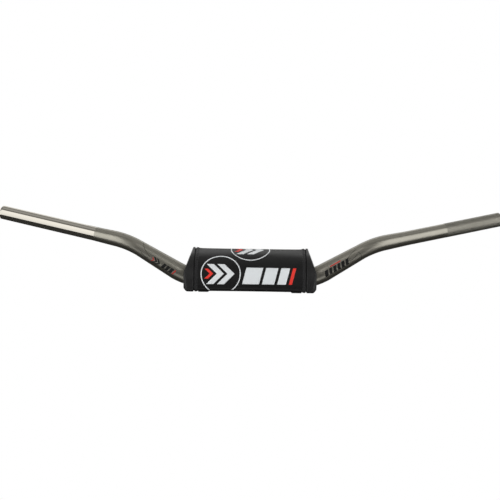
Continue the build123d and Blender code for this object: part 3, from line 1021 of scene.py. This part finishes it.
# %% Soft copies of the CAD solids
def soft_copy(node, name, cell, smoothing, relief, material, sink=0.0, bulge=0.0):
    """A CAD solid as soft foam: even cells, rounded edges, and a skin that bulges beside the cover."""
    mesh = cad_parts[node].data.copy()
    edit = bmesh.new()
    edit.from_mesh(mesh)
    bmesh.ops.remove_doubles(edit, verts=edit.verts, dist=1e-6)
    bmesh.ops.recalc_face_normals(edit, faces=edit.faces)
    edit.to_mesh(mesh)
    edit.free()
    piece = show(mesh, f"{name}_rough")
    remesh = piece.modifiers.new("cells", "REMESH")
    remesh.mode, remesh.voxel_size, remesh.use_smooth_shade = "VOXEL", cell, True
    soften = piece.modifiers.new("soften", "SMOOTH")
    soften.factor, soften.iterations = 0.5, smoothing
    graph = bpy.context.evaluated_depsgraph_get()
    result = bpy.data.meshes.new_from_object(piece.evaluated_get(graph), depsgraph=graph)
    bpy.data.objects.remove(piece)
    places, normals = (np.empty(len(result.vertices) * 3) for _ in range(2))
    result.vertices.foreach_get("co", places)
    result.vertex_normals.foreach_get("vector", normals)
    places, normals = places.reshape(-1, 3), normals.reshape(-1, 3)
    push = np.array([relief * noise.noise(Vector(place) * 220) - sink for place in places])
    push[np.abs(places[:, 0]) > COVER_HALF + 0.0001] += bulge
    result.vertices.foreach_set("co", (places + normals * push[:, None]).ravel())
    result.update()
    result.materials.clear()
    result.materials.append(material)
    soft = show(result, name)
    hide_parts(node)
    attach(soft, PAD_BODY)
    print(name, "faces", len(result.polygons))


soft_copy("pad_foam_core", "foam_core", 0.0013, 4, 0.00012, foam, sink=0.0004, bulge=0.0012)
for side in SIDES:
    soft_copy(f"pad_end_cap_{side}", f"end_cap_{side}", 0.0007, 5, 0.00010, cap_skin)

# %% [markdown]
# ## The hems
#
# Each side edge of the cover is bound with tape, folded over and sewn with one row of stitches. The
# tape is a ribbon that follows the cover's section, thick in the middle and rounded at both sides.


# %% The hems
HEM_WIDTH, HEM_HEIGHT = 0.005, 0.0007


def make_hem(side, sign):
    """The tape along one side edge of the cover."""
    profile = np.linspace(0, 1, 13)
    height = HEM_HEIGHT * (1 - np.abs(2 * profile - 1) ** 5)
    s, t = np.meshgrid(np.linspace(0, pad_reach, 300), profile, indexing="ij")
    x = sign * (COVER_HALF - HEM_WIDTH * (1 - t))
    lift = np.repeat(height[None], len(s), axis=0)
    lift = lift * (0.86 + 0.14 * np.sin(2 * math.pi * s / 0.0031 + 0.8 * np.sin(s * 230)))
    uv = np.stack([s, t * HEM_WIDTH], axis=-1)
    hem = slab(f"hem_{side}", cover_point(x, s, lift), cover_point(x, s, -0.0002), tape, uv)
    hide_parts(f"cover_binding_{side}")
    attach(hem, PAD_BODY)
    return hem


for side, sign in SIDES.items():
    hem = make_hem(side, sign)
print("hem faces", len(hem.data.polygons))

# %% [markdown]
# ## Stitches
#
# A row of stitches repeats along a line, so one geometry tree makes them all. It walks along a
# chain of edges, sets one small rounded stitch at each step, and turns it along the chain.


# %% The stitch tree
def stitch_tree():
    """One rounded stitch at each step along the base's edges."""
    tree, given, result = new_tree(
        "GeometryNodeTree",
        "stitch_row",
        [
            ("Geometry", "NodeSocketGeometry", None),
            ("Spacing", "NodeSocketFloat", 0.003),
            ("Stitch Length", "NodeSocketFloat", 0.0022),
            ("Thread Radius", "NodeSocketFloat", 0.0003),
            ("Material", "NodeSocketMaterial", None),
        ],
        [("Geometry", "NodeSocketGeometry")],
    )
    curve = add_node(tree, "GeometryNodeMeshToCurve", {"Mesh": given["Geometry"]}).outputs["Curve"]
    inputs = {"Curve": curve, "Length": given["Spacing"]}
    steps = add_node(tree, "GeometryNodeCurveToPoints", inputs, mode="LENGTH").outputs
    inputs = {"Segments": 8, "Rings": 6, "Radius": 1.0}
    bead = add_node(tree, "GeometryNodeMeshUVSphere", inputs).outputs["Mesh"]
    half = calc(tree, "MULTIPLY", given["Stitch Length"], 0.5)
    parts = {"X": half, "Y": given["Thread Radius"], "Z": given["Thread Radius"]}
    size = add_node(tree, "ShaderNodeCombineXYZ", parts).outputs[0]
    inputs = {"Vector": steps["Tangent"]}
    turn = add_node(tree, "FunctionNodeAlignRotationToVector", inputs, axis="X").outputs[0]
    inputs = {"Points": steps["Points"], "Instance": bead, "Rotation": turn, "Scale": size}
    row = add_node(tree, "GeometryNodeInstanceOnPoints", inputs).outputs[0]
    smooth = add_node(tree, "GeometryNodeSetShadeSmooth", {"Geometry": row}).outputs[0]
    finish_tree(tree, smooth, given["Material"], result[0])
    return tree


STITCH = stitch_tree()


def stitch(name, points, body, slot, spacing=0.003, length=0.0022, radius=0.00028):
    """A row of stitches along a chain of points, moving with this body."""
    base = line_object(f"{name}_line", points)
    sizes = {"spacing": spacing, "stitch_length": length, "thread_radius": radius}
    row = grow(STITCH, base, name, material=thread, **sizes)
    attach(row, body)
    return row


for side, sign in SIDES.items():
    s = np.linspace(0.002, pad_reach - 0.002, 500)
    line = cover_point(sign * (COVER_HALF - HEM_WIDTH * 0.72), s, HEM_HEIGHT * 0.92)
    row = stitch(f"hem_stitches_{side}", line, PAD_BODY, "binding_tape")
print("stitch faces in a hem", len(row.data.polygons))

# %% [markdown]
# ## The straps
#
# Two nylon webbing straps hold the pad down. Each is sewn under the cover's front flap, passes
# under the bar, turns up behind the pad and sticks to it with hook and loop tape. A strap is flat
# webbing, so it is made directly as one ribbon along its path, with thin woven edges and a rounded
# tip. The real strap bends where it leaves its sewn end.

# %% The strap's path
STRAP_THICKNESS, STRAP_MIDDLE_Z, STRAP_BACK_Y = 0.0012, -0.0159, 0.0370
STRAP_ROOT_Y, HINGE_Y, STRAP_CORNER = -0.02815, -0.022, 0.0080
STRAP_TIP_RADIUS = 0.004
strap_path = rounded_path(
    [(0, STRAP_ROOT_Y, STRAP_MIDDLE_Z), (0, STRAP_BACK_Y, STRAP_MIDDLE_Z), (0, STRAP_BACK_Y, STRAP_TIP_Z)],
    [STRAP_CORNER],
    0.0002,
)
strap_reach = strap_path[2][-1]


def strap_point(centre_x, x, s, out=0.0):
    """Points on a strap: x across it, s along it, and out towards its outer face."""
    x, s = np.broadcast_arrays(np.asarray(x, float), np.asarray(s, float))
    place, way = along(strap_path, s)
    side = np.stack([np.zeros_like(x), way[..., 2], -way[..., 1]], axis=-1)
    point = place + side * np.broadcast_to(out, x.shape)[..., None]
    point[..., 0] = centre_x + x
    return point


print("strap is", round(strap_reach * 1000, 1), "mm long")


# %% The straps
def make_strap(side, sign):
    """One strap, from its sewn end to its tip."""
    tip = STRAP_TIP_RADIUS
    tip_turns = np.linspace(0, math.pi / 2, 12)[1:]
    s = np.concatenate([np.linspace(0, strap_reach - tip, 120), strap_reach - tip * np.cos(tip_turns)])
    from_tip = np.clip(tip - (strap_reach - s), 0, tip)
    half = STRAP_WIDTH / 2 - tip + np.sqrt(tip**2 - from_tip**2)
    t = np.linspace(-1, 1, 25)
    across = half[:, None] * t[None]
    reach = np.repeat(s[:, None], len(t), axis=1)
    thick = STRAP_THICKNESS / 2 * (1 - 0.75 * np.clip((np.abs(t) - 0.86) / 0.14, 0, 1) ** 2)
    thick = np.repeat(thick[None], len(s), axis=0) - 0.00006 * (1 + np.sin(reach * 2600))
    centre = sign * STRAP_X
    uv = np.stack([across, reach], axis=-1)
    outer, inner = (strap_point(centre, across, reach, k * thick) for k in (1, -1))
    strap = slab(f"strap_{side}", outer, inner, webbing, uv)
    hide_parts(f"strap_root_{side}", f"strap_{side}")
    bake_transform(strap)
    return strap


def loop_of(points, step=0.0005):
    """The same chain of straight runs, closed and with a point at every step."""
    points = [np.array(p, float) for p in points]
    chain = []
    for a, b in zip(points, points[1:] + points[:1]):
        count = max(1, round(float(np.linalg.norm(b - a)) / step))
        chain += [a + (b - a) * k / count for k in range(count)]
    return np.array(chain + [points[0]])


def strap_stitches(side, sign):
    """The box of stitches at the sewn end, and the box round the hook patch."""
    for name, (low, high), half, body in (
        ("root", (0.0012, 0.0052), 0.0062, PAD_BODY),
        ("hook", (strap_reach - 0.0213, strap_reach - 0.0088), 0.0066, f"{side}_strap"),
    ):
        box = loop_of([(-half, low), (half, low), (half, high), (-half, high)])
        if name == "root":
            cross = loop_of([(-half, low), (half, high), (half, low), (-half, high)])
            box = np.concatenate([box, cross])
        line = strap_point(sign * STRAP_X, box[:, 0], box[:, 1], STRAP_THICKNESS / 2 - 0.00012)
        sizes = {"spacing": 0.0021, "length": 0.0016, "radius": 0.00022}
        stitch(f"strap_{name}_stitches_{side}", line, body, "webbing", **sizes)


for side, sign in SIDES.items():
    strap = make_strap(side, sign)
    strap_stitches(side, sign)
print("strap faces", len(strap.data.polygons))

# %% [markdown]
# ## Hook and loop tape
#
# The hook side is a field of small stiff hooks in rows, and the loop side a looser pile of fine
# loops that stand at all angles. Both are one small bent filament repeated hundreds of times on a
# woven backing. A geometry tree sets them on a grid, with a fixed seed for their random turns.


# %% The pile tree
def pile_tree():
    """One bent filament on every point of the base, turned at random by up to a given angle."""
    tree, given, result = new_tree(
        "GeometryNodeTree",
        "tape_pile",
        [
            ("Geometry", "NodeSocketGeometry", None),
            ("Filament Height", "NodeSocketFloat", 0.001),
            ("Filament Width", "NodeSocketFloat", 0.0006),
            ("Filament Radius", "NodeSocketFloat", 0.00008),
            ("Sweep", "NodeSocketFloat", math.pi),
            ("Most Turn", "NodeSocketFloat", 0.2),
            ("Lean", "NodeSocketFloat", 0.1),
            ("Face", "NodeSocketVector", (0, 0, 0)),
            ("Material", "NodeSocketMaterial", None),
        ],
        [("Geometry", "NodeSocketGeometry")],
    )
    inputs = {"Resolution": 6, "Radius": 1.0, "Start Angle": 0.0, "Sweep Angle": given["Sweep"]}
    arc = add_node(tree, "GeometryNodeCurveArc", inputs, mode="RADIUS").outputs["Curve"]
    half = calc(tree, "MULTIPLY", given["Filament Width"], 0.5)
    parts = {"X": half, "Y": given["Filament Height"], "Z": 1.0}
    size = add_node(tree, "ShaderNodeCombineXYZ", parts).outputs[0]
    bent = add_node(tree, "GeometryNodeTransform", {"Geometry": arc, "Scale": size}).outputs[0]
    inputs = {"Resolution": 4, "Radius": given["Filament Radius"]}
    circle = add_node(tree, "GeometryNodeCurvePrimitiveCircle", inputs).outputs["Curve"]
    inputs = {"Curve": bent, "Profile Curve": circle, "Fill Caps": True}
    filament = add_node(tree, "GeometryNodeCurveToMesh", inputs).outputs["Mesh"]
    upright = (math.pi / 2, 0, 0)
    filament = add_node(tree, "GeometryNodeTransform", {"Geometry": filament, "Rotation": upright}).outputs[0]
    limits = []
    for sign in (-1.0, 1.0):
        turn = calc(tree, "MULTIPLY", given["Most Turn"], sign)
        lean = calc(tree, "MULTIPLY", given["Lean"], sign)
        limits.append(add_node(tree, "ShaderNodeCombineXYZ", {"X": lean, "Y": lean, "Z": turn}).outputs[0])
    inputs = {"Min": limits[0], "Max": limits[1], "Seed": 7}
    chance = add_node(tree, "FunctionNodeRandomValue", inputs, data_type="FLOAT_VECTOR").outputs[0]
    turned = add_node(tree, "FunctionNodeRotateRotation", {"Rotation": given["Face"], "Rotate By": chance},
                      rotation_space="LOCAL").outputs[0]
    inputs = {"Points": given["Geometry"], "Instance": filament, "Rotation": turned}
    field = add_node(tree, "GeometryNodeInstanceOnPoints", inputs).outputs[0]
    smooth = add_node(tree, "GeometryNodeSetShadeSmooth", {"Geometry": field}).outputs[0]
    finish_tree(tree, smooth, given["Material"], result[0])
    return tree


PILE = pile_tree()


# %% The tapes
def make_tape(name, node, side, body, slot, pitch, back_depth, facing, material, **sizes):
    """A woven backing with a field of filaments that stand on its face, inside the CAD node's box."""
    low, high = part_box(f"{node}_{side}")
    face_y, back_y = (high.y - back_depth, high.y) if facing < 0 else (low.y + back_depth, low.y)
    z, x = np.meshgrid(np.linspace(low.z, high.z, 24), np.linspace(low.x, high.x, 16), indexing="ij")
    uv = np.stack([x, z], axis=-1)
    front, back = (np.stack([x, np.full_like(x, y), z], axis=-1) for y in (face_y, back_y))
    tape_piece = slab(f"{name}_{side}", front, back, pile_backing, uv)
    columns, rows = int((high.x - low.x - 0.001) / pitch), int((high.z - low.z - 0.001) / pitch)
    places = [
        (x, face_y, z)
        for x in np.linspace(low.x + 0.0008, high.x - 0.0008, columns + 1)
        for z in np.linspace(low.z + 0.0008, high.z - 0.0008, rows + 1)
    ]
    mesh = bpy.data.meshes.new(f"{name}_places")
    mesh.from_pydata(places, [], [])
    face = (math.pi / 2, 0, 0) if facing < 0 else (-math.pi / 2, 0, 0)
    spots = show(mesh, f"{name}_places")
    pile = grow(PILE, spots, f"{name}_pile_{side}", material=material, face=face, **sizes)
    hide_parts(f"{node}_{side}")
    for piece in (tape_piece, pile):
        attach(piece, body)
    return pile


for side in SIDES:
    hooks = make_tape(
        "hook_tape", "strap_hook_patch", side, f"{side}_strap", "hook_tape",
        0.00125, 0.00035, -1, hook_nylon,
        filament_height=0.0006, filament_width=0.0005, filament_radius=0.00009,
        sweep=4.1, most_turn=0.15, lean=0.05,
    )
    loops = make_tape(
        "loop_tape", "cover_loop_patch", side, PAD_BODY, "loop_tape",
        0.0009, 0.00045, 1, thread,
        filament_height=0.0006, filament_width=0.0008, filament_radius=0.00006,
        sweep=math.pi, most_turn=3.1, lean=0.5,
    )
print("hook faces", len(hooks.data.polygons), "loop faces", len(loops.data.polygons))

# %% [markdown]
# ## The pad's graphics
#
# The graphics are thin films bonded to the cover. They are drawn flat, on a plane that touches the
# cover at their middle, and pressed on straight along that plane's direction, as a heat press does.
# So each drawn point is looked up by its height on the plane, and then laid on the finished cover.

# %% Films pressed onto the cover
FILM_THICKNESS = 0.00014


def press_on(shapes, name, node, material, middle_x, middle_s):
    """Flat shapes pressed onto the cover round this place, as one thin film."""
    s = np.linspace(pad_reach * 0.02, pad_reach * 0.70, 4000)
    place, _ = along(pad_path, s)
    centre, upward = along(pad_path, np.array([middle_s]))
    height = (place - centre) @ upward[0]
    rising = np.concatenate([[True], np.diff(np.maximum.accumulate(height)) > 0])
    lowest, pieces = height.min() + 0.0002, []
    for shape in shapes:
        closed = len(shape) > 100
        if closed and shape[..., 1].min() < lowest:
            reached = (shape[..., 1] > lowest).all(axis=1)
            first = int(np.argmax(reached & ~np.roll(reached, 1)))
            shape, closed = np.roll(shape, -first, axis=0)[: int(reached.sum())], False
        where = np.interp(shape[..., 1], height[rising], s[rising])
        top, under = (cover_point(middle_x + shape[..., 0], where, k * FILM_THICKNESS) for k in (1, -1))
        pieces.append(slab("film", top, under, material, shape, close_rows=closed))
    film = join(pieces, name)
    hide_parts(node)
    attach(film, PAD_BODY)
    return film


def section_at(axis, value, low, high):
    """Where the pad's path, between these shares of its length, is at this y or z."""
    s = np.linspace(pad_reach * low, pad_reach * high, 3000)
    place, _ = along(pad_path, s)
    return float(s[np.argmin(np.abs(place[:, axis] - value))])


# %% The graphics
ROUNDEL_X, STRIPES_X, TOP_Y = -0.0455, -0.009, 0.0155
turn = math.radians(90) + FRONT_LEAN
front_corner = FLAP - PAD_RADII[0] * (2 * math.tan(turn / 2) - turn)
ROUNDEL_S, STRIPES_S = front_corner + 0.0285, front_corner + 0.026
TOP_S = section_at(1, TOP_Y, 0.3, 0.55)
STRIPE_WIDTHS, STRIPE_GAP, STRIPE_HALF = (0.026, 0.019, 0.0135, 0.005), 0.0045, 0.013
RING_RADIUS, RING_LINE = 0.031, 0.0016
CHEVRON_REACH, CHEVRON_ARM = 0.016, 0.011

emblem = [ring(RING_RADIUS, RING_LINE)]
emblem += [chevron(tip, CHEVRON_REACH, CHEVRON_ARM) for tip in (0.005, 0.0215)]
small_chevron = [chevron(-0.0115, 0.008, 0.0055, rows=17, columns=6)]
starts = [sum(STRIPE_WIDTHS[:i]) + STRIPE_GAP * i for i in range(len(STRIPE_WIDTHS))]
stripes = [
    slanted_bar(start, width, -STRIPE_HALF, STRIPE_HALF, rows=25, columns=12)
    for start, width in zip(starts, STRIPE_WIDTHS)
]
for shapes, name, color, slot_name, x, s in (
    (emblem, "front_roundel", white_film, "white_film", ROUNDEL_X, ROUNDEL_S),
    (small_chevron, "front_roundel_accent", red_film, "red_film", ROUNDEL_X, ROUNDEL_S),
    (stripes[:-1], "front_stripes", white_film, "white_film", STRIPES_X, STRIPES_S),
    (stripes[-1:], "front_stripe_accent", red_film, "red_film", STRIPES_X, STRIPES_S),
    (emblem, "top_roundel", white_film, "white_film", 0.0, TOP_S),
    (small_chevron, "top_roundel_accent", red_film, "red_film", 0.0, TOP_S),
):
    film = press_on(shapes, f"film_{name}", name, color, x, s)
    low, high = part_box(name)
    co = np.array([v.co for v in film.data.vertices])
    off = max(np.abs(co.min(0) - np.array(low)).max(), np.abs(co.max(0) - np.array(high)).max())
    print(film.name, "differs from its CAD node's box by", round(off * 1000, 2), "mm")

# %% [markdown]
# ## Light and background
#
# The background is white, but a white room all round would wash the metal out. So the camera sees
# white, and everything else sees what a studio has: a dark floor and lower half, a grey room above,
# and a tall softbox on each side of the camera for the bar's bright band. More softboxes stand at
# the two ends, behind and above, for the other sides, and a low one lights the bar's lower front.

# %% The world
LOW_LIGHT, HIGH_LIGHT = 0.06, 0.30
world = bpy.data.worlds.new("studio")
world.use_nodes = True
bpy.context.scene.world = world
tree = world.node_tree
tree.nodes.clear()
direction = tree.nodes.new("ShaderNodeTexCoord").outputs["Generated"]
height = add_node(tree, "ShaderNodeSeparateXYZ", {0: direction})
level = ranged(tree, height.outputs["Z"], -0.25, 0.45, LOW_LIGHT, HIGH_LIGHT)
grey = add_node(tree, "ShaderNodeBackground", {"Color": (1, 0.985, 0.96, 1), "Strength": level}).outputs[0]
white = add_node(tree, "ShaderNodeBackground", {"Color": (1, 1, 1, 1), "Strength": 1.0}).outputs[0]
seen = tree.nodes.new("ShaderNodeLightPath").outputs["Is Camera Ray"]
mix = add_node(tree, "ShaderNodeMixShader", {0: seen, 1: grey, 2: white}).outputs[0]
tree.links.new(mix, tree.nodes.new("ShaderNodeOutputWorld").inputs["Surface"])
bpy.context.scene.view_settings.view_transform = "Standard"
print("world from", LOW_LIGHT, "to", HIGH_LIGHT)


# %% The softboxes
def softbox(name, place, aim, width, height, brightness):
    """A rectangular light at this place, as bright all over as brightness says."""
    light = bpy.data.lights.new(name, "AREA")
    light.shape, light.size, light.size_y = "RECTANGLE", width, height
    light.energy = brightness * math.pi * width * height
    lamp = bpy.data.objects.new(name, light)
    bpy.context.collection.objects.link(lamp)
    lamp.location = place
    lamp.rotation_euler = (Vector(aim) - Vector(place)).to_track_quat("-Z", "Y").to_euler()
    lamp.visible_camera = False


for name, sign in (("left", -1), ("right", 1)):
    softbox(f"{name}_softbox", (sign * 1.35, -1.25, 0.5), (sign * 0.2, 0, 0.25), 1.5, 2.4, 1.45)
    softbox(f"{name}_side_softbox", (sign * 1.9, -0.35, 0.1), (0, 0, 0), 0.9, 1.3, 1.3)
    softbox(f"{name}_rear_softbox", (sign * 1.1, 1.6, 0.2), (0, 0, 0.05), 1.5, 1.4, 1.2)
softbox("low_softbox", (0, -0.95, -0.75), (0, 0, 0), 1.3, 0.55, 0.8)
softbox("rear_softbox", (0, 1.7, 1.45), (0, 0, 0.1), 4.0, 1.1, 0.8)
softbox("top_softbox", (0, 0.1, 2.1), (0, 0, 0), 2.4, 1.2, 0.25)

# %% [markdown]
# ## The floor
#
# A pale floor lies well below the object. To the camera it is as white as the background, so no
# edge or shadow shows, and to the object it is darker, so that it does not light the bar's underside.

# %% The floor
floor_material = bpy.data.materials.new("pale_floor")
floor_material.use_nodes = True
tree = floor_material.node_tree
tree.nodes.clear()
pale = add_node(tree, "ShaderNodeEmission", {"Color": (1, 1, 1, 1), "Strength": 1.0}).outputs[0]
matt = add_node(tree, "ShaderNodeBsdfDiffuse", {"Color": (0.06, 0.06, 0.058, 1)}).outputs[0]
seen = tree.nodes.new("ShaderNodeLightPath").outputs["Is Camera Ray"]
mix = add_node(tree, "ShaderNodeMixShader", {0: seen, 1: matt, 2: pale}).outputs[0]
tree.links.new(mix, tree.nodes.new("ShaderNodeOutputMaterial").inputs["Surface"])
FLOOR_HALF, FLOOR_Z = 3.5, -1.0
corners = [(x * FLOOR_HALF, y * FLOOR_HALF, FLOOR_Z) for x, y in ((-1, -1), (1, -1), (1, 1), (-1, 1))]
floor = new_piece("floor", corners, [(0, 1, 2, 3)], floor_material)
print("floor at", FLOOR_Z)

# %% [markdown]
# ## Removing the guide
#
# The centre line was only a guide and is removed.

# %% Removing the guide
bpy.data.objects.remove(centre_line)
